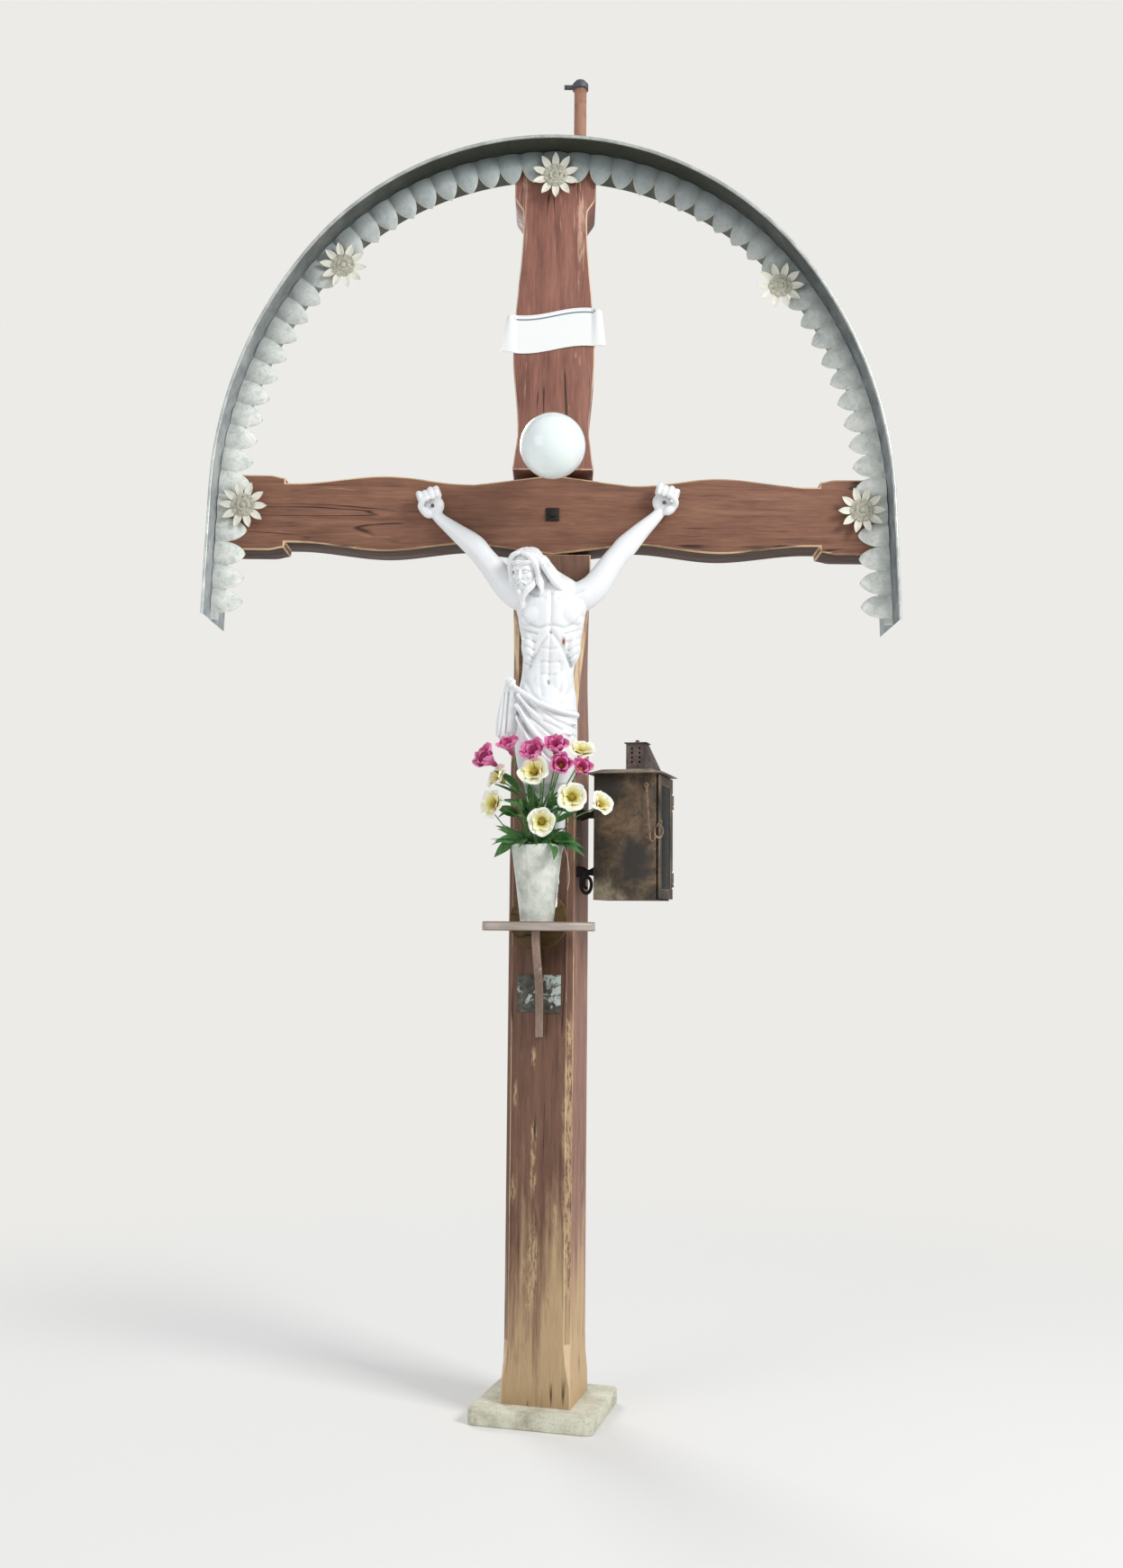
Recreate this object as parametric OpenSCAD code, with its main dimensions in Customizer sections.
// Wayside shrine: a timber cross with a twisted post, under an arched sheet roof with a scalloped
// valance and rosettes, a cast figure, a title scroll, a globe lamp, a flower shelf and a grave
// lantern with a hinged door. Millimetres, Z up, front towards -Y.
// The origin is under the post, on the underside of the footing stone. Heights in the sections
// below are measured from the foot of the post.

/* [Footing] */
// Width of the footing stone, across the front
footing_w = 390; // [330:10:500]
// Depth of the footing stone
footing_d = 350; // [330:10:450]
// Thickness of the footing stone
footing_t = 50; // [30:5:120]

/* [Post] */
// Width of the square post
post_w = 210; // [180:5:240]
// Extra width of the post just under the crossbeam
post_head_extra = 34; // [0:2:50]
// Extra width where the post meets the footing stone
post_foot_extra = 10; // [0:1:30]
// Width of the chamfers on the post's arrises
post_chamfer = 17; // [5:1:30]
// Turn of the post at its foot: the timber has twisted as it dried
post_twist = 15.5; // [0:0.5:20]
// Height at which the post starts to untwist
twist_from_z = 1930; // [1930:10:2100]
// Height above which the post is square to the crossbeam
twist_to_z = 2550; // [2400:10:2600]

/* [Crossbeam] */
// Underside of the crossbeam's centre block
beam_z = 2618; // [2560:2:2700]
// Height of the crossbeam's centre block
beam_h = 258; // [230:2:280]
// Thickness of the crossbeam, let into the front of the post
beam_d = 134; // [100:2:160]
// Half of the centre block's length
block_half = 250; // [200:5:300]
// Height of the crossbeam's necks
beam_neck_h = 192; // [160:2:220]
// Height of the crossbeam at the swelling of each arm
beam_belly_h = 243; // [220:1:258]
// Distance of that swelling from the centre line
beam_belly_x = 530; // [480:5:580]
// Distance of the outer neck from the centre line
beam_neck_x = 820; // [780:5:840]
// Distance from the centre line where the crossbeam's end lobe starts
beam_lobe_x = 850; // [845:1:880]
// Side of the square washer plate at the crossing
washer_w = 42; // [30:1:60]

/* [Upper arm] */
// Open joint between the crossbeam and the upper arm
arm_gap = 20; // [10:1:30]
// Depth of the upper arm
arm_d = 190; // [160:5:200]
// Width of the block at the foot of the upper arm
arm_block_w = 260; // [230:2:280]
// Height of that block
arm_block_h = 108; // [80:2:130]
// Width of the lower neck
arm_low_neck_w = 229; // [200:1:240]
// Width at the swelling
arm_belly_w = 262; // [240:1:280]
// Height of the swelling above the foot of the post
arm_belly_z = 3270; // [3200:5:3340]
// Width of the upper neck
arm_high_neck_w = 205; // [180:1:225]
// Height of the upper neck
arm_neck_z = 3730; // [3650:5:3760]
// Width of the flared head under the roof
arm_head_w = 262; // [230:1:280]

/* [Roof] */
// Height of the roof's crown
roof_crown_z = 3945; // [3900:5:4000]
// Radius of the crown
crown_r = 992; // [930:1:1020]
// Angle from the vertical where the crown's arc ends
crown_angle = 51.5; // [48:0.5:60]
// Radius of the shoulders
shoulder_r = 1335; // [1250:5:1500]
// Angle from the vertical where the shoulder's arc ends
shoulder_angle = 88; // [86:0.5:89]
// Length of the straight legs
roof_leg = 386; // [300:2:420]
// Thickness of the roof sheet
sheet_t = 3; // [2:0.5:5]
// Distance from the valance to the roof's front edge
roof_overhang = 98; // [60:2:130]
// Distance from the valance to the roof's back edge
roof_back = 200; // [150:5:240]
// Width of the folded hem along the front edge
hem_w = 12; // [8:1:20]
// Height of the folded hem over the sheet
hem_h = 5; // [3:1:8]

/* [Valance] */
// Distance from the last tongue's middle to the roof's end
tongue_end = 60; // [50:1:80]
// Tongues on each half, without the middle one
tongue_count = 27; // [20:1:27]
// Width of a tongue
tongue_w = 72; // [60:1:74]
// Reach of a tongue below the sheet
tongue_len = 97; // [80:1:120]
// Height of the strip that joins the tongues
strip_h = 28; // [20:1:40]
// Radius of a tongue's rounded cross-section
tongue_r = 74; // [60:1:100]
// Thickness of the pressed zinc
valance_t = 2.5; // [1.5:0.5:4]

/* [Rosettes] */
// Diameter over the petals
rosette_dia = 151; // [120:1:170]
// Number of petals
petal_count = 10; // [8:1:12]
// Diameter of the raised centre
rosette_cup = 62; // [50:1:80]

/* [Title scroll] */
// Width of the enamelled scroll
scroll_w = 325; // [280:5:360]
// Height of its field
scroll_h = 128; // [100:2:150]
// Height of its middle above the foot of the post
scroll_z = 3352; // [3300:2:3400]
// Thickness of the scroll
scroll_t = 4; // [2:0.5:6]

/* [Lamp] */
// Diameter of the opal globe
globe_dia = 200; // [160:5:240]
// Wall of the globe
globe_t = 3; // [2:0.5:5]
// Height of the globe's centre
globe_z = 2903; // [2880:1:2920]
// Distance of the globe's centre from the upper arm's face
globe_reach = 225; // [180:5:260]
// Diameter of the lamp's back plate
lamp_plate_dia = 92; // [80:1:100]

/* [Figure] */
// Height of the shoulders' line
shoulder_z = 2440; // [2400:5:2460]
// Distance of each hand's middle from the centre line
hand_x = 356; // [340:2:370]
// Depth of the chest
chest_d = 150; // [130:2:170]

/* [Shelf] */
// Top of the shelf board
shelf_z = 1460; // [1400:5:1500]
// Width of the shelf board
shelf_w = 334; // [300:2:380]
// Thickness of the shelf board
shelf_t = 27; // [20:1:35]
// Diameter of the round foot console behind the shelf
console_dia = 185; // [160:5:200]
// Thickness of the foot console
console_t = 18; // [12:1:22]
// Reach of the bracket below the shelf board
bracket_h = 326; // [280:2:340]
// Thickness of the bracket board
bracket_t = 24; // [16:1:30]
// Width of the small bare plate on the post
plate_w = 140; // [120:2:160]
// Height of the small bare plate
plate_h = 116; // [90:2:130]
// Lower edge of the small bare plate
plate_z = 1180; // [1140:5:1200]
// Distance of the shelf's middle from the centre line
shelf_x = -28; // [-40:1:0]
// Distance of the shelf's front edge from the centre line
shelf_front = 345; // [320:5:360]

/* [Vase] */
// Height of the vase
vase_h = 230; // [180:5:260]
// Diameter of its mouth
vase_mouth = 155; // [140:1:160]
// Diameter of its foot
vase_foot = 100; // [80:1:110]
// Thickness of its wall
vase_t = 2; // [1.5:0.5:4]

/* [Lantern] */
// Width and depth of the lantern's body
lantern_w = 197; // [180:1:210]
// Height of the lantern's body
lantern_h = 390; // [340:5:420]
// Underside of the lantern's body
lantern_z = 1528; // [1480:2:1560]
// Gap between the post and the lantern
lantern_gap = 66; // [40:1:90]
// Thickness of the lantern's sheet steel
lantern_t = 3; // [2:0.5:4]
// Side of the lantern's roof plate
lantern_roof_w = 243; // [225:1:260]
// Width of the vent on the lantern's roof
vent_w = 61; // [50:1:80]
// Height of the vent
vent_h = 84; // [60:1:100]
// Rise of the lantern's low hipped roof
roof_rise = 12; // [6:1:20]
// Diameter of the vent's holes
vent_hole = 7; // [5:0.5:9]
// Running gap between the lantern's door and its body
door_gap = 5; // [5:0.5:8]
// Thickness of the door's frame
door_t = 6; // [5:0.5:8]
// Width of the door's stiles
stile_w = 30; // [20:1:40]
// Diameter of the hinge pins
hinge_pin = 6; // [5:0.5:8]

/* [Mast] */
// Diameter of the mast pipe
mast_dia = 42; // [34:1:50]
// Height of the mast's top
mast_top_z = 4290; // [4100:10:4400]
// Distance of the mast from the centre line
mast_x = 80; // [60:2:90]

/* [Hidden] */
$fn = 48;

// Clearance between pieces that seat on a curved face
seat = 0.3;
// Play of a hinge pin in its knuckle
pin_play = 0.3;
// Smallest arris left on sawn timber
arris = 2;

post_front = post_w / 2;
lap_back = beam_d - post_front;
beam_top_z = beam_z + beam_h;
arm_z = beam_top_z + arm_gap;
arm_front = arm_d / 2;
valance_y = -post_front - 3;
roof_front_y = valance_y - roof_overhang;
roof_back_y = valance_y + roof_back;

// Ease from 0 to 1 with level ends
function ease(t) = let (c = min(max(t, 0), 1)) c * c * (3 - 2 * c);
function span(x, a, b) = (x - a) / (b - a);

// One point of a Catmull-Rom curve through four neighbours
function curve_point(a, b, c, d, t) = 0.5 * (2 * b + (c - a) * t
    + (2 * a - 5 * b + 4 * c - d) * t * t + (3 * b - a - 3 * c + d) * t * t * t);
// A list of stations drawn as a smooth curve with k steps between neighbours
function smooth(p, k) = concat(
    [for (i = [0 : len(p) - 2], j = [0 : k - 1])
        curve_point(p[max(i - 1, 0)], p[i], p[i + 1], p[min(i + 2, len(p) - 1)], j / k)],
    [p[len(p) - 1]]);

module above_footing() {
    translate([0, 0, footing_t]) children();
}

// A closed skin over rings that all have the same number of points
module skin(rings) {
    n = len(rings[0]);
    m = len(rings);
    sides = [for (i = [0 : m - 2], j = [0 : n - 1])
        let (a = i * n + j, b = i * n + (j + 1) % n)
        each [[a, a + n, b + n], [a, b + n, b]]];
    foot = [for (j = [0 : n - 1]) j];
    head = [for (j = [n - 1 : -1 : 0]) (m - 1) * n + j];
    polyhedron([for (r = rings) each r], concat([foot], sides, [head]), convexity = 6);
}

// Turn of the post at height z, and pieces that follow the post's faces there
function turn(z) = post_twist * (1 - ease(span(z, twist_from_z, twist_to_z)));
module turned(z) {
    rotate([0, 0, -turn(z)]) children();
}

// Footing stone, each corner worn back by its own amount

module footing_stone() {
    color("lightgray")
    turned(0)
    linear_extrude(footing_t)
    polygon([
        [-footing_w / 2, -footing_d / 2 + 12], [-footing_w / 2 + 14, -footing_d / 2],
        [footing_w / 2 - 20, -footing_d / 2 + 3], [footing_w / 2, -footing_d / 2 + 16],
        [footing_w / 2 - 4, footing_d / 2 - 10], [footing_w / 2 - 16, footing_d / 2],
        [-footing_w / 2 + 10, footing_d / 2 - 4], [-footing_w / 2 + 3, footing_d / 2 - 18]]);
}

// Post

// Heights between which the post flares, widens at its foot, and its chamfers run out
head_flare = [2150, 2560];
foot_flare = [150, 30];
chamfer_foot = [90, 150];
chamfer_head = [2500, 2420];
function fade(z, heights) = ease(span(z, heights[0], heights[1]));
function post_width(z) = post_w + post_head_extra * fade(z, head_flare)
    + post_foot_extra * fade(z, foot_flare);
function post_arris(z) = arris + (post_chamfer - arris)
    * fade(z, chamfer_foot) * fade(z, chamfer_head);
function chamfered(w, d, c) = [
    [w, c - d], [w, d - c], [w - c, d], [c - w, d],
    [-w, d - c], [-w, c - d], [c - w, -d], [w - c, -d]];
function post_ring(z) = let (a = turn(z))
    [for (p = chamfered(post_width(z) / 2, post_w / 2, post_arris(z)))
        [p[0] * cos(a) + p[1] * sin(a), p[1] * cos(a) - p[0] * sin(a), z]];

module post() {
    post_steps = 46;
    color("saddlebrown")
    above_footing()
    difference() {
        skin([for (i = [0 : post_steps]) post_ring(arm_z * i / post_steps)]);
        translate([-post_w, -post_w, beam_z])
            cube([2 * post_w, post_w + lap_back, arm_z]);
    }
}

// Crossbeam

function between(a, b, t) = a + (b - a) * ease(t);
lobe_len = 50;
lobe_step = 34;
inner_neck_x = block_half + 10;
// Half height of the beam at distance x from the centre line
function beam_half_h(x) =
    x < block_half ? beam_h / 2 :
    x < beam_belly_x ? between(beam_neck_h, beam_belly_h, span(x, inner_neck_x, beam_belly_x)) / 2 :
    x < beam_neck_x ? between(beam_belly_h, beam_neck_h, span(x, beam_belly_x, beam_neck_x)) / 2 :
    x < beam_lobe_x ? beam_neck_h / 2 :
    between(beam_neck_h + lobe_step, beam_belly_h, span(x, beam_lobe_x, beam_lobe_x + lobe_len)) / 2;
beam_stations = concat(
    [0, block_half, block_half + 0.5],
    [for (i = [1 : 12]) inner_neck_x + (beam_belly_x - inner_neck_x) * i / 12],
    [for (i = [1 : 12]) beam_belly_x + (beam_neck_x - beam_belly_x) * i / 12],
    [beam_lobe_x - 0.5, beam_lobe_x],
    [for (i = [1 : 4]) beam_lobe_x + lobe_len * i / 4], [crown_r + shoulder_r]);

module crossbeam() {
    half = [for (x = beam_stations) [x, beam_half_h(x)]];
    back = [for (i = [len(half) - 1 : -1 : 0]) half[i]];
    color("sienna")
    above_footing()
    translate([0, lap_back, 0])
    rotate([90, 0, 0])
    linear_extrude(beam_d)
    intersection() {
        translate([0, beam_z + beam_h / 2])
        polygon(concat(
            half, [for (p = back) [p[0], -p[1]]],
            [for (i = [1 : len(half) - 1]) [-half[i][0], -half[i][1]]],
            [for (i = [0 : len(back) - 2]) [-back[i][0], back[i][1]]]));
        under_roof();
    }
}

module washer_plate() {
    washer_t = 5;
    nut_w = 22;
    nut_h = 12;
    color("dimgray")
    above_footing()
    translate([0, -post_front, beam_z + beam_h / 2])
    rotate([90, 0, 0]) {
        translate([-washer_w / 2, -washer_w / 2, 0]) cube([washer_w, washer_w, washer_t]);
        translate([0, 0, washer_t]) cylinder(d = nut_w, h = nut_h, $fn = 6);
    }
}

// Upper arm

neck_step = 12;
arm_low_neck_z = arm_z + arm_block_h + neck_step;
arm_head_z = arm_neck_z + neck_step;
flare_len = 58;
function arm_half_w(z) =
    z < arm_z + arm_block_h ? arm_block_w / 2 :
    z < arm_belly_z ? between(arm_low_neck_w, arm_belly_w, span(z, arm_low_neck_z, arm_belly_z)) / 2 :
    z < arm_neck_z ? between(arm_belly_w, arm_high_neck_w, span(z, arm_belly_z, arm_neck_z)) / 2 :
    between(arm_high_neck_w, arm_head_w, span(z, arm_head_z, arm_head_z + flare_len)) / 2;
arm_stations = concat(
    [arm_z, arm_z + arm_block_h, arm_z + arm_block_h + 0.5],
    [for (i = [0 : 10]) arm_low_neck_z + (arm_belly_z - arm_low_neck_z) * i / 10],
    [for (i = [1 : 12]) arm_belly_z + (arm_neck_z - arm_belly_z) * i / 12],
    [for (i = [1 : 6]) arm_head_z + flare_len * i / 6]);

module upper_arm() {
    color("saddlebrown")
    above_footing()
    translate([0, arm_front, 0])
    rotate([90, 0, 0])
    linear_extrude(arm_d)
    intersection() {
        polygon(concat(
            [for (z = arm_stations) [arm_half_w(z), z]],
            [[arm_head_w / 2, roof_crown_z], [-arm_head_w / 2, roof_crown_z]],
            [for (i = [len(arm_stations) - 1 : -1 : 0])
                [-arm_half_w(arm_stations[i]), arm_stations[i]]]));
        under_roof();
    }
}

// Roof

crown_z = roof_crown_z - crown_r;
shoulder_x = (crown_r - shoulder_r) * sin(crown_angle);
shoulder_z0 = crown_z + (crown_r - shoulder_r) * cos(crown_angle);
crown_len = crown_r * crown_angle * PI / 180;
shoulder_len = shoulder_r * (shoulder_angle - crown_angle) * PI / 180;
roof_len = crown_len + shoulder_len + roof_leg;
tongue_pitch = (roof_len - tongue_end) / tongue_count;

// Angle from the vertical of the roof's outer face at distance s from the crown
function roof_angle(s) =
    s < crown_len ? s / crown_r * 180 / PI :
    min(crown_angle + (s - crown_len) / shoulder_r * 180 / PI, shoulder_angle);
// Point on the right half at distance s from the crown, pushed inwards by d
function roof_point(s, d) = let (a = roof_angle(s))
    s < crown_len ? [(crown_r - d) * sin(a), crown_z + (crown_r - d) * cos(a)] :
    let (over = max(s - crown_len - shoulder_len, 0))
    [shoulder_x + (shoulder_r - d) * sin(a) + over * cos(a),
     shoulder_z0 + (shoulder_r - d) * cos(a) - over * sin(a)];
roof_stations = concat(
    [for (i = [0 : 22]) crown_len * i / 22],
    [for (i = [1 : 16]) crown_len + shoulder_len * i / 16], [roof_len]);

// A band that follows the right half of the roof between two depths under its outer face
module roof_band(outer, inner) {
    polygon(concat(
        [for (s = roof_stations) roof_point(s, outer)],
        [for (i = [len(roof_stations) - 1 : -1 : 0]) roof_point(roof_stations[i], inner)]));
}

// The space under the roof, which the beam's ends and the upper arm's head are cut to
module under_roof() {
    right = [for (s = roof_stations) roof_point(s, sheet_t + seat)];
    polygon(concat(right, [for (i = [len(right) - 1 : -1 : 1]) [-right[i][0], right[i][1]]]));
}

// Stands a drawing of the front view up at y_front, with its thickness towards the back
module upright(y_front, depth) {
    above_footing()
    translate([0, y_front + depth, 0])
    rotate([90, 0, 0])
    linear_extrude(depth)
    children();
}

module roof_sheet(side) {
    color("silver")
    mirror([side < 0 ? 1 : 0, 0, 0])
    upright(roof_front_y, roof_back_y - roof_front_y)
    roof_band(0, sheet_t);
}

module roof_hem(side) {
    color("gainsboro")
    mirror([side < 0 ? 1 : 0, 0, 0])
    upright(roof_front_y - hem_w, hem_w)
    roof_band(-hem_h, sheet_t + 1);
}

// Valance

// How far a tongue's crest stands in front of its edges
bow = tongue_r - sqrt(pow(tongue_r, 2) - pow(tongue_w / 2, 2));

// Half width and bow of a tongue at a share of its length: straight sides, then an ogive tip
function tongue_half(t) = tongue_w / 2 * (t < 0.4 ? 1 : sqrt(max(1 - pow(span(t, 0.4, 1.02), 2), 0)));
function tongue_bow(t) = bow * (1 - 0.6 * pow(t, 3));

// One tongue, hanging from the origin and bowed forward across its width, solid behind the strip
module tongue() {
    rows = [0.995, 0.93, 0.8, 0.6, 0.4, 0.3, 0];
    solid_to = 0.3;
    skin([for (t = rows)
        let (w = tongue_half(t), b = tongue_bow(t) * w / (tongue_w / 2), z = -tongue_len * t)
        concat(
            [for (i = [-2 : 2]) [w * i / 2, -b * (1 - pow(i / 2, 2)), z]],
            [for (i = [1 : -1 : -1])
                [(w - 1) * i / 1.2, t > solid_to ? valance_t - b * (1 - pow(i / 1.2, 2)) : seat, z]])]);
}

module tongues(first) {
    for (k = [first : tongue_count]) {
        s = k * tongue_pitch;
        p = roof_point(s, sheet_t + seat + 1);
        above_footing()
        translate([p[0], valance_y, p[1]])
        rotate([0, roof_angle(s), 0])
        tongue();
    }
}

// The strip over the tongues, which the left half carries on to the end of the middle tongue
module strip(side) {
    split = tongue_w / 2 + 1;
    if (side > 0)
        difference() {
            roof_band(sheet_t + seat, strip_h);
            square([split, roof_crown_z + 1]);
        }
    else {
        roof_band(sheet_t + seat, strip_h);
        mirror([1, 0])
        intersection() {
            roof_band(sheet_t + seat, strip_h);
            square([split, roof_crown_z + 1]);
        }
    }
}

module valance(side) {
    color("lightsteelblue")
    mirror([side < 0 ? 1 : 0, 0, 0]) {
        upright(valance_y - valance_t / 2, valance_t) strip(side);
        tongues(side < 0 ? 0 : 1);
    }
}

// Rosettes

module petal(reach, breadth) {
    hull() {
        translate([reach - breadth / 2, 0]) circle(d = breadth, $fn = 24);
        translate([breadth / 2, 0]) circle(d = breadth / 2, $fn = 16);
    }
}

// A rosette that faces -Y, with its back at the origin's plane
module rosette_body() {
    petal_t = 4;
    petal_w = 26;
    rotate([90, 0, 0]) {
        linear_extrude(petal_t)
        for (i = [0 : petal_count - 1])
            rotate(90 + i * 360 / petal_count) petal(rosette_dia / 2, petal_w);
        translate([0, 0, petal_t])
        rotate_extrude()
        polygon([
            [0, 0], [rosette_cup / 2 - 6, 0], [rosette_cup / 2, 7], [rosette_cup / 2 - 3, 12],
            [rosette_cup / 2 - 9, 9], [12, 8], [9, 15], [0, 17]]);
    }
}

// The rosette on tongue k of one side, standing off the tongue's crest on a stud
module rosette(side, k) {
    stud = 6;
    stud_dia = 14;
    // The tongue draws back towards its tip, behind its crest
    draw_back = 4;
    depth = rosette_dia / 2 + sheet_t + 10;
    p = roof_point(k * tongue_pitch, depth);
    color("whitesmoke")
    above_footing()
    mirror([side < 0 ? 1 : 0, 0, 0])
    translate([p[0], valance_y - bow - seat, p[1]])
    rotate([0, roof_angle(k * tongue_pitch), 0]) {
        translate([0, draw_back, 0])
        rotate([90, 0, 0])
        cylinder(d = stud_dia, h = stud + draw_back, $fn = 24);
        translate([0, -stud, 0]) rosette_body();
    }
}

// Mast

mast_gap = 14;
mast_y = arm_front + mast_gap + mast_dia / 2;
module mast_pipe() {
    mast_foot_z = 3080;
    mast_bore = mast_dia - 7;
    color("rosybrown")
    above_footing()
    translate([mast_x, mast_y, mast_foot_z])
    difference() {
        cylinder(d = mast_dia, h = mast_top_z - mast_foot_z);
        translate([0, 0, -1]) cylinder(d = mast_bore, h = mast_top_z - mast_foot_z + 2);
    }
}

// Cap on the mast with a stub to the left
module mast_head() {
    cap_dia = mast_dia + 12;
    cap_h = 18;
    dome_h = 12;
    stub_dia = 16;
    stub_len = mast_dia / 2 + 34;
    color("slategray")
    above_footing()
    translate([mast_x, mast_y, mast_top_z]) {
        cylinder(d = cap_dia, h = cap_h);
        translate([0, 0, cap_h]) cylinder(d1 = cap_dia, d2 = cap_dia - 20, h = dome_h);
        translate([0, 0, cap_h / 2])
        rotate([0, -90, 0])
        cylinder(d = stub_dia, h = stub_len, $fn = 24);
    }
}

// Two straps that hold the mast on the back of the upper arm
module mast_clamps() {
    strap_h = 34;
    strap_t = 5;
    ear_w = 84;
    ear_x = -52;
    color("gray")
    above_footing()
    for (z = [arm_belly_z, arm_head_z + flare_len])
    translate([mast_x, mast_y, z - strap_h / 2])
    difference() {
        union() {
            cylinder(d = mast_dia + 2 * (strap_t + seat), h = strap_h);
            translate([-mast_dia / 2 - strap_t, arm_front - mast_y, 0])
                cube([mast_dia + 2 * strap_t, mast_y - arm_front, strap_h]);
            translate([ear_x, arm_front - mast_y, 0]) cube([ear_w, strap_t, strap_h]);
        }
        translate([0, 0, -1]) cylinder(d = mast_dia + 2 * seat, h = strap_h + 2);
    }
}

// Title scroll

// Wavy middle line of the scroll at distance x from its centre
function scroll_wave(x) = 14 * sin(x * 0.9);
module title_scroll() {
    field = scroll_w / 2 - 34;
    steps = [for (i = [-10 : 10]) field * i / 10];
    back_steps = [for (i = [-10 : 10]) -field * i / 10];
    color("white")
    upright(-arm_front - scroll_t - seat, scroll_t)
    translate([0, scroll_z])
    polygon(concat(
        [for (x = steps) [x, scroll_wave(x) - scroll_h / 2]],
        [[field + 20, scroll_wave(field) - scroll_h / 2 + 16],
         [scroll_w / 2, scroll_wave(field) - 18], [field + 24, scroll_wave(field) + 8],
         [field + 14, scroll_wave(field) + scroll_h / 2 - 6]],
        [for (x = back_steps) [x, scroll_wave(x) + scroll_h / 2]],
        [[-field - 20, scroll_wave(-field) + scroll_h / 2 - 14], [-field - 12, scroll_wave(-field)],
         [-scroll_w / 2, scroll_wave(-field) - scroll_h / 2 + 10],
         [-field - 16, scroll_wave(-field) - scroll_h / 2 + 2]]));
}

// Lamp

lamp_plate_z = arm_z + arm_block_h / 2;
lamp_drop = atan((lamp_plate_z - globe_z) / globe_reach);
lamp_len = sqrt(pow(globe_reach, 2) + pow(lamp_plate_z - globe_z, 2));
lamp_mouth = 78;
// Turns the lamp's axis from the back plate down to the globe's centre
module along_lamp() {
    above_footing()
    translate([0, -arm_front, lamp_plate_z])
    rotate([90 + lamp_drop, 0, 0])
    children();
}
globe_near = sqrt(pow(globe_dia / 2, 2) - pow(lamp_mouth / 2, 2));

module lamp_base() {
    holder_len = lamp_len - globe_near - seat;
    plate_t = 14;
    neck_dia = 52;
    cup_h = 40;
    cup_dia = lamp_mouth + 10;
    color("dimgray") {
        above_footing()
        translate([0, -arm_front, lamp_plate_z])
        rotate([90, 0, 0])
        cylinder(d = lamp_plate_dia, h = plate_t);
        difference() {
            along_lamp() {
                cylinder(d = neck_dia, h = holder_len - cup_h + 10);
                translate([0, 0, holder_len - cup_h])
                    cylinder(d1 = neck_dia + 4, d2 = cup_dia, h = cup_h);
            }
            above_footing()
            translate([-lamp_plate_dia, -arm_front, lamp_plate_z - lamp_plate_dia])
                cube([2 * lamp_plate_dia, lamp_plate_dia, 2 * lamp_plate_dia]);
        }
    }
}

module lamp_globe() {
    color("ivory")
    along_lamp()
    translate([0, 0, lamp_len])
    difference() {
        sphere(d = globe_dia, $fn = 72);
        sphere(d = globe_dia - 2 * globe_t, $fn = 72);
        translate([0, 0, -globe_dia]) cylinder(d = lamp_mouth, h = globe_dia);
    }
}

// Figure: rings of an oval section, square to the line through their stations
// A station is x, y, z, half width and half depth

function unit(v) = v / norm(v);
function place(s) = [s[0], s[1], s[2]];
function oval_ring(s, along, n) =
    let (side = unit(cross([0, 1, 0], along)), deep = cross(along, side))
    [for (j = [0 : n - 1])
        place(s) + s[3] * cos(360 * j / n) * side + s[4] * sin(360 * j / n) * deep];
module limb(stations, steps, n) {
    p = smooth(stations, steps);
    last = len(p) - 1;
    skin([for (i = [0 : last])
        oval_ring(p[i], unit(place(p[min(i + 1, last)]) - place(p[max(i - 1, 0)])), n)]);
}

figure_y = -post_front - seat;
chest = chest_d / 2;
torso_stations = [
    [-14, figure_y - 70, 2000, 80, 62], [-13, figure_y - 77, 2090, 92, 66],
    [-12, figure_y - 71, 2150, 92, 62], [-10, figure_y - 63, 2205, 83, 58],
    [-7, figure_y - 65, 2255, 82, 60], [0, figure_y - 73, 2315, 90, 68],
    [0, figure_y - chest, shoulder_z - 55, 102, chest],
    [0, figure_y - chest, shoulder_z, 108, chest - 3],
    [-8, figure_y - 71, shoulder_z + 44, 94, 55], [-18, figure_y - 71, shoulder_z + 74, 58, 46],
    [-34, figure_y - 85, shoulder_z + 96, 38, 38]];
head_stations = [
    [-81, figure_y - 152, shoulder_z + 12, 12, 12], [-84, figure_y - 150, shoulder_z + 40, 40, 30],
    [-84, figure_y - 150, shoulder_z + 75, 52, 36], [-82, figure_y - 138, shoulder_z + 110, 56, 46],
    [-80, figure_y - 120, shoulder_z + 142, 50, 50], [-76, figure_y - 112, shoulder_z + 168, 26, 26]];
hair_stations = [
    [-74, figure_y - 112, shoulder_z + 150, 26, 26], [-40, figure_y - 104, shoulder_z + 124, 36, 34],
    [-4, figure_y - 94, shoulder_z + 80, 38, 32], [22, figure_y - 88, shoulder_z + 42, 22, 22]];
// From the crossbeam to the open side of the palms
palm_d = 42;
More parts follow.
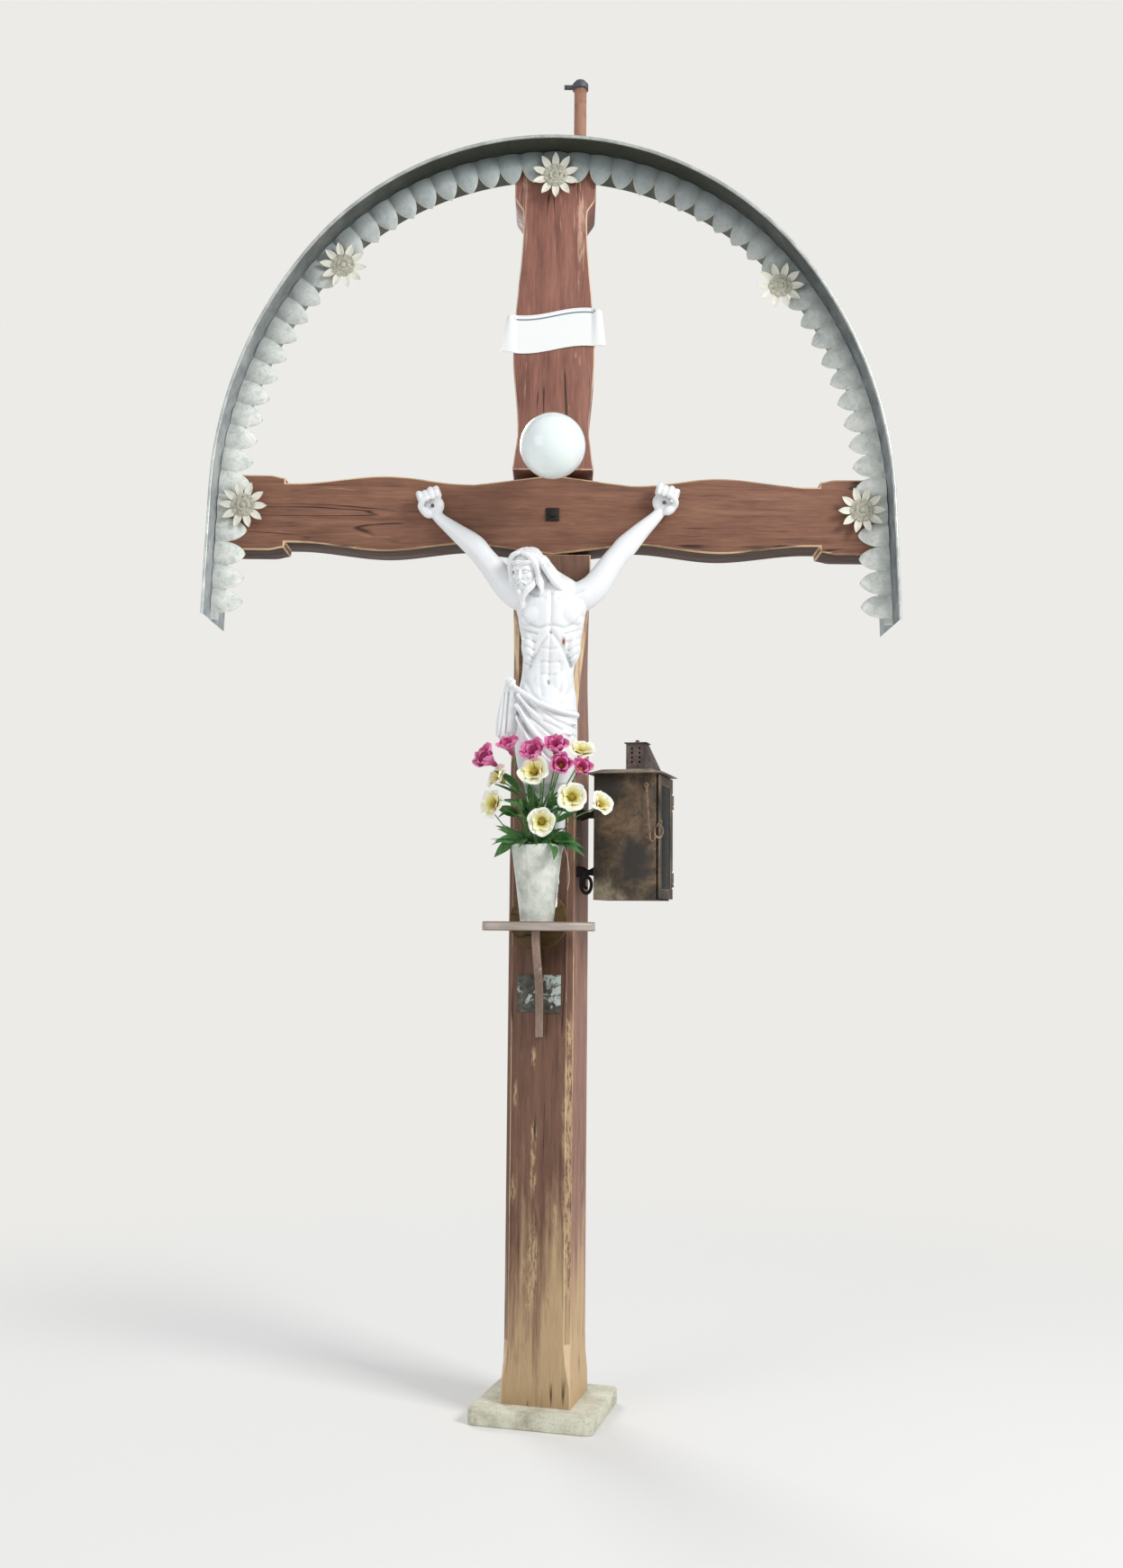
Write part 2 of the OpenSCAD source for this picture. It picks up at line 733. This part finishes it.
// An arm from inside the shoulder to the curled hand on the crossbeam. The right one reaches higher
function arm_path(side) = let (x = hand_x + (side < 0 ? 16 : -10), up = side < 0 ? 0 : 16) [
    [side * 58, figure_y - 64, shoulder_z + 17, 46, 40],
    [side * 97, figure_y - 62, shoulder_z + 31, 48, 41],
    [side * 137, figure_y - 60, shoulder_z + 60, 44, 41],
    [side * (x * 0.475), figure_y - 59, shoulder_z + 110, 39, 40],
    [side * (x * 0.555), figure_y - 53, shoulder_z + 144 + up * 0.4, 36, 36],
    [side * (x * 0.6), figure_y - 49, shoulder_z + 168, 35, 34],
    [side * (x * 0.665), figure_y - 43, shoulder_z + 196, 36, 33],
    [side * (x * 0.8), figure_y - 31, shoulder_z + 238 + up * 0.5, 28, 27],
    [side * (x * 0.955), figure_y - 21, shoulder_z + 284 + up, 19, 17],
    [side * (x + 2), figure_y - palm_d + 18, shoulder_z + 308 + up, 32, 18],
    [side * (x + 12), figure_y - palm_d / 2, shoulder_z + 340 + up, 42, palm_d / 2],
    [side * (x + 22), figure_y - palm_d + 16, shoulder_z + 372 + up, 34, 16]];
function leg_path(side) = [
    [side * 14 - 8, figure_y - 84, 1516, 22, 13],
    [side * 16 - 8, figure_y - 74, 1548, 20, 15],
    [side * 19 - 8, figure_y - 54, 1580, 20, 19],
    [side * 20 - 8, figure_y - 47, 1612, 19, 20],
    [side * 21 - 8, figure_y - 45, 1650, 22, 24],
    [side * 24 - 8, figure_y - 47, 1700, 30, 33],
    [side * 28 - 8, figure_y - 58, 1760, 29, 31],
    [side * 31 - 8, figure_y - 72, 1820, 31, 33],
    [side * 35 - 8, figure_y - 71, 1880, 41, 41],
    [side * 42 - 8, figure_y - 73, 1960, 50, 51],
    [side * 42 - 8, figure_y - 73, 2010, 48, 54]];
cloth_stations = [
    [-8, figure_y - 81, 1880, 76, 62], [-10, figure_y - 81, 1930, 88, 68],
    [-13, figure_y - 79, 2000, 98, 71], [-13, figure_y - 77, 2070, 98, 70],
    [-12, figure_y - 75, 2120, 94, 66]];
// The end of the cloth that hangs from its knot on the hip
tail_stations = [
    [-84, figure_y - 84, 2196, 18, 18], [-106, figure_y - 90, 2150, 20, 20],
    [-122, figure_y - 92, 2100, 24, 22], [-136, figure_y - 88, 2032, 26, 18]];

// All that lies beyond the joint where an arm is fixed to the shoulder, pulled back by slack
module beyond_joint(side, slack) {
    joint_x = 112;
    joint_lean = 38;
    block = 600;
    translate([side * joint_x, 0, shoulder_z + 28])
    rotate([0, side * (90 - joint_lean), 0])
    translate([-block / 2, -block, slack])
    cube([block, block, block]);
}

module figure_body() {
    color("white")
    above_footing() {
        difference() {
            limb(torso_stations, 3, 24);
            beyond_joint(-1, 0);
            beyond_joint(1, 0);
        }
        limb(head_stations, 3, 20);
        limb(hair_stations, 2, 12);
        limb(tail_stations, 2, 12);
        limb(leg_path(-1), 2, 16);
        limb(leg_path(1), 2, 16);
        limb(cloth_stations, 3, 24);
    }
}

module figure_arm(side) {
    color("white")
    above_footing()
    intersection() {
        limb(arm_path(side), 3, 16);
        beyond_joint(side, seat);
    }
}

// Nail heads in both palms
module nails() {
    head_dia = 12;
    head_h = 6;
    color("gray")
    above_footing()
    for (palm = [[-hand_x - 22, shoulder_z + 322], [hand_x - 4, shoulder_z + 338]])
        translate([palm[0], figure_y - palm_d - seat, palm[1]])
        rotate([90, 0, 0])
        cylinder(d = head_dia, h = head_h, $fn = 24);
}

// Shelf, foot console and small plate, square to the turned post

console_z = shelf_z + 5;
module foot_console() {
    color("peru")
    above_footing()
    turned(shelf_z)
    translate([0, -post_front, console_z])
    rotate([90, 0, 0])
    cylinder(d = console_dia, h = console_t, $fn = 72);
}

shelf_back = post_front + console_t + seat;
small_plate_t = 2.5;

// All that lies behind a plane at a distance in front of the post's axis, square to the turned post
module behind_face(distance) {
    block = 2 * shelf_w;
    turned(shelf_z)
    translate([-block / 2, -distance, 0])
    cube([block, block, shelf_z + post_w]);
}

// The board faces the road, and its back edge is scribed to the twisted post
module shelf_board() {
    corner = 22;
    half = shelf_w / 2;
    color("darkgray")
    above_footing()
    difference() {
        translate([shelf_x, 0, shelf_z - shelf_t])
        linear_extrude(shelf_t)
        polygon(concat(
            [[half, 0], [-half, 0]],
            [for (a = [180 : 15 : 270])
                [corner - half + corner * cos(a), corner - shelf_front + corner * sin(a)]],
            [for (a = [270 : 15 : 360])
                [half - corner + corner * cos(a), corner - shelf_front + corner * sin(a)]]));
        behind_face(shelf_back);
    }
}

module shelf_bracket() {
    top_reach = shelf_front - 30;
    foot_reach = post_front + 26;
    lip_h = 40;
    bracket_x = shelf_x - 9;
    steps = 16;
    color("darkgray")
    above_footing()
    difference() {
        translate([bracket_x - bracket_t / 2, 0, shelf_z - shelf_t])
        rotate([0, 90, 0])
        rotate([0, 0, 180])
        linear_extrude(bracket_t)
        polygon(concat(
            [[0, 0], [-bracket_h, 0]],
            [for (i = [0 : steps]) [-bracket_h + (bracket_h - lip_h) * i / steps,
                foot_reach + (top_reach - foot_reach) * ease(i / steps)]],
            [[0, top_reach]]));
        behind_face(post_front + small_plate_t + seat);
        turned(shelf_z)
        translate([-shelf_w, -shelf_back, console_z - console_dia / 2 - seat])
            cube([2 * shelf_w, shelf_back, console_dia]);
    }
}

module small_plate() {
    color("gray")
    above_footing()
    turned(shelf_z)
    translate([-plate_w / 2, -post_front - small_plate_t, plate_z])
        cube([plate_w, small_plate_t - 0.5, plate_h]);
}

// Vase and bouquet

vase_x = 38;
vase_axis = 145;
vase_y = -shelf_back - vase_axis;
module at_vase() {
    above_footing()
    turned(shelf_z)
    translate([vase_x, vase_y, shelf_z])
    children();
}

module vase() {
    color("lightslategray")
    at_vase()
    rotate_extrude($fn = 72)
    polygon([
        [0, 0], [vase_foot / 2, 0], [vase_mouth / 2 - 2, vase_h - 6], [vase_mouth / 2, vase_h - 6],
        [vase_mouth / 2, vase_h], [vase_mouth / 2 - vase_t - 1, vase_h],
        [vase_foot / 2 - vase_t, vase_t], [0, vase_t]]);
}

// A bloom is its place over the vase's foot, its lean forwards, its turn and its diameter
magenta_places = [
    [[-122, -20, vase_h + 236], 55, -35, 84], [[-74, -32, vase_h + 266], 50, -10, 80],
    [[48, -38, vase_h + 222], 60, 12, 88], [[134, -24, vase_h + 206], 60, 35, 80]];
white_places = [
    [[-4, -46, vase_h + 186], 70, 0, 84], [[-116, -34, vase_h + 98], 75, -40, 80],
    [[-128, -10, vase_h + 166], 60, -55, 76], [[10, -50, vase_h + 58], 92, 6, 88],
    [[98, -42, vase_h + 122], 80, 25, 86], [[176, -20, vase_h + 104], 75, 55, 76],
    [[124, 0, vase_h + 262], 35, 40, 76]];

// Bundle of stems in the vase and the leaves above its mouth
module bouquet_greens() {
    color("forestgreen")
    at_vase() {
        translate([0, 14, vase_t + seat]) cylinder(d1 = 26, d2 = 34, h = vase_h - vase_t, $fn = 24);
        translate([0, -2, vase_h + 2])
        skin([for (t = [0 : 8]) [for (j = [0 : 11])
            let (r = sin(12 + 156 * t / 8))
            [88 * r * cos(30 * j), 33 * r * sin(30 * j), 90 - 90 * cos(12 + 156 * t / 8)]]]);
        for (b = concat(magenta_places, white_places)) stem(b);
    }
}

// Direction that a bloom faces
function facing(b) = [sin(b[1]) * sin(b[2]), -sin(b[1]) * cos(b[2]), cos(b[1])];

// One open bloom
module bloom(b) {
    dia = b[3];
    translate(b[0])
    rotate([0, 0, b[2]])
    rotate([b[1], 0, 0])
    rotate_extrude($fn = 24)
    polygon([[0, 0], [6, 0], [dia * 0.3, dia * 0.28], [dia / 2, dia * 0.42], [dia / 2 - 3, dia * 0.46],
        [dia * 0.24, dia * 0.34], [0, dia * 0.2]]);
}

// A stem from the vase's mouth to the back of a bloom, which it clears by the seat
module stem(b) {
    stem_r = 3;
    root = [0, 6, vase_h - 10];
    tip = b[0] - (stem_r + seat) * facing(b);
    way = tip - root;
    translate(root)
    rotate([0, acos(way[2] / norm(way)), atan2(way[1], way[0])])
    cylinder(r = stem_r, h = norm(way), $fn = 8);
    translate(tip) sphere(r = stem_r, $fn = 16);
}

module magenta_blooms() {
    color("deeppink")
    at_vase()
    for (b = magenta_places) bloom(b);
}

module white_blooms() {
    color("ivory")
    at_vase()
    for (b = white_places) bloom(b);
}

// Lantern, square to the turned post on its right-hand side

lantern_turn_z = lantern_z + lantern_h / 2;
lantern_x = post_front + lantern_gap;
lantern_y = -post_front;
module at_lantern() {
    above_footing()
    turned(lantern_turn_z)
    translate([lantern_x, lantern_y, lantern_z])
    children();
}

module lantern_body() {
    color("sienna")
    at_lantern() {
        difference() {
            cube([lantern_w, lantern_w, lantern_h]);
            translate([lantern_t, lantern_t, lantern_t])
                cube([lantern_w, lantern_w - 2 * lantern_t, lantern_h - 2 * lantern_t]);
        }
        hinge_lugs();
        latch_pin();
    }
}

module lantern_roof() {
    over = (lantern_roof_w - lantern_w) / 2;
    flat_w = 156;
    color("sienna")
    at_lantern()
    translate([lantern_w / 2, lantern_w / 2, lantern_h]) {
        translate([-lantern_roof_w / 2, -lantern_roof_w / 2, 0])
            cube([lantern_roof_w, lantern_roof_w, lantern_t]);
        translate([0, 0, lantern_t])
        linear_extrude(roof_rise, scale = flat_w / (lantern_roof_w - over))
        square(lantern_roof_w - over, center = true);
    }
}

// Vent with a sloping back, a cap and two columns of holes
module lantern_vent() {
    vent_x = lantern_w / 2 - vent_w / 2 + 20;
    vent_y = 58;
    vent_d = 92;
    top_d = 44;
    column_x = 12;
    wall = lantern_t;
    cap_over = 5;
    knob_dia = 12;
    color("saddlebrown")
    at_lantern()
    translate([vent_x, vent_y, lantern_h + lantern_t + roof_rise]) {
        difference() {
            rotate([90, 0, 90])
            linear_extrude(vent_w)
            polygon([[0, 0], [vent_d, 0], [top_d, vent_h], [0, vent_h]]);
            translate([wall, wall, -1]) cube([vent_w - 2 * wall, top_d - 2 * wall, vent_h + 1 - wall]);
            for (side = [-1, 1], row = [0 : 3])
                translate([vent_w / 2 + side * column_x, -1, vent_h * (0.3 + 0.17 * row)])
                rotate([-90, 0, 0])
                cylinder(d = vent_hole, h = wall + 2, $fn = 20);
        }
        translate([-cap_over, -cap_over, vent_h])
            cube([vent_w + 2 * cap_over, top_d + 2 * cap_over, wall]);
        translate([vent_w / 2, top_d / 2, vent_h + wall]) cylinder(d = knob_dia, h = 9, $fn = 24);
    }
}

// Two spacer bars between the post and the lantern, with a scroll under the lower one
module lantern_brackets() {
    bar_h = 36;
    bar_d = 60;
    bar_y = 40;
    low_bar_z = 70;
    scroll_r = 15;
    scroll_w = 8;
    color("black")
    at_lantern() {
        for (z = [low_bar_z, lantern_h - 2 * low_bar_z])
            translate([-lantern_gap, bar_y, z]) cube([lantern_gap, bar_d, bar_h]);
        translate([-(lantern_gap + scroll_w) / 2, bar_y, low_bar_z - scroll_r])
        rotate([90, 0, 90])
        linear_extrude(scroll_w)
        difference() {
            circle(r = scroll_r);
            circle(r = scroll_r - 7);
        }
    }
}

// Door on the lantern's right side, hinged at the back
door_h = lantern_h - 2 * door_gap;
door_x = lantern_w + door_gap;
hinge_x = door_x + door_t / 2;
hinge_y = lantern_w + hinge_pin / 2 + 3;
knuckle_dia = hinge_pin + 6;
knuckle_h = 34;
hinge_z = 55;
hinge_heights = [hinge_z, lantern_h - hinge_z - knuckle_h];
lug_h = 10;
lug_drop = 12;

// Straps and pins on the body that carry the door
module hinge_lugs() {
    for (z = hinge_heights) {
        translate([lantern_w - 40, lantern_w, z - lug_drop]) cube([40, lantern_t, lug_h]);
        translate([lantern_w - 2, lantern_w, z - lug_drop])
            cube([hinge_x - lantern_w + 2, hinge_y - lantern_w, lug_h]);
        translate([hinge_x, hinge_y, z - lug_drop]) cylinder(d = knuckle_dia, h = lug_h);
        translate([hinge_x, hinge_y, z - lug_drop]) cylinder(d = hinge_pin, h = lug_h + knuckle_h);
    }
}

module lantern_door() {
    color("sienna")
    at_lantern() {
        difference() {
            translate([door_x, 0, door_gap]) cube([door_t, hinge_y, door_h]);
            translate([door_x - 1, stile_w, door_gap + stile_w])
                cube([door_t + 2, lantern_w - 2 * stile_w, door_h - 2 * stile_w]);
            for (z = hinge_heights)
                translate([hinge_x, hinge_y, z - lug_drop - pin_play - door_gap])
                cylinder(d = knuckle_dia + 2 * door_gap, h = knuckle_h + lug_drop + 2 * door_gap);
        }
        for (z = hinge_heights)
        difference() {
            union() {
                translate([hinge_x, hinge_y, z + pin_play])
                    cylinder(d = knuckle_dia, h = knuckle_h - 2 * pin_play);
                translate([door_x, hinge_y - stile_w, z + pin_play])
                    cube([door_t, stile_w, knuckle_h - 2 * pin_play]);
            }
            translate([hinge_x, hinge_y, 0]) cylinder(d = hinge_pin + 2 * pin_play, h = lantern_h);
        }
    }
}

module lantern_glass() {
    glass_t = 3;
    color("lightcyan")
    at_lantern()
    translate([door_x + (door_t - glass_t) / 2, stile_w + seat, door_gap + stile_w + seat])
        cube([glass_t, lantern_w - 2 * stile_w - 2 * seat, door_h - 2 * stile_w - 2 * seat]);
}

// Wire hook that swings on a pin on the lantern's front
hook_x = 168;
hook_z = lantern_h - 38;
hook_wire = 5;
hook_pin = 5;
hook_len = 86;
hook_end = 16;
hook_tilt = 12;
module latch_pin() {
    translate([hook_x, 1, hook_z]) rotate([90, 0, 0]) cylinder(d = hook_pin, h = 19, $fn = 24);
    translate([hook_x, -18, hook_z]) rotate([90, 0, 0]) cylinder(d = hook_pin + 5, h = 3, $fn = 24);
}

module latch_hook() {
    eye_r = hook_pin / 2 + pin_play + hook_wire / 2;
    color("black")
    at_lantern()
    translate([hook_x, -door_gap - 2 - hook_wire / 2, hook_z])
    rotate([0, -hook_tilt, 0]) {
        rotate([90, 0, 0]) rotate_extrude() translate([eye_r, 0]) circle(d = hook_wire, $fn = 16);
        translate([0, 0, -eye_r - hook_len]) cylinder(d = hook_wire, h = hook_len, $fn = 16);
        translate([0, 0, -eye_r - hook_len]) sphere(d = hook_wire, $fn = 16);
        translate([0, 0, -eye_r - hook_len])
            rotate([0, 90, 0])
            cylinder(d = hook_wire, h = hook_end, $fn = 16);
    }
}

footing_stone();
post();
crossbeam();
washer_plate();
upper_arm();
roof_sheet(-1);  // roof_sheet_left
roof_sheet(1);  // roof_sheet_right
roof_hem(-1);  // roof_hem_left
roof_hem(1);  // roof_hem_right
valance(-1);  // valance_left
valance(1);  // valance_right
rosette(-1, 0);  // rosette_crown
rosette(-1, 11);  // rosette_upper_left
rosette(1, 12);  // rosette_upper_right
rosette(-1, 23);  // rosette_lower_left
rosette(1, 23);  // rosette_lower_right
mast_pipe();
mast_head();
mast_clamps();
title_scroll();
lamp_base();
lamp_globe();
figure_body();
figure_arm(-1);  // figure_arm_left
figure_arm(1);  // figure_arm_right
nails();
foot_console();
shelf_board();
shelf_bracket();
small_plate();
vase();
bouquet_greens();
magenta_blooms();
white_blooms();
lantern_body();
lantern_roof();
lantern_vent();
lantern_brackets();
lantern_door();
lantern_glass();
latch_hook();
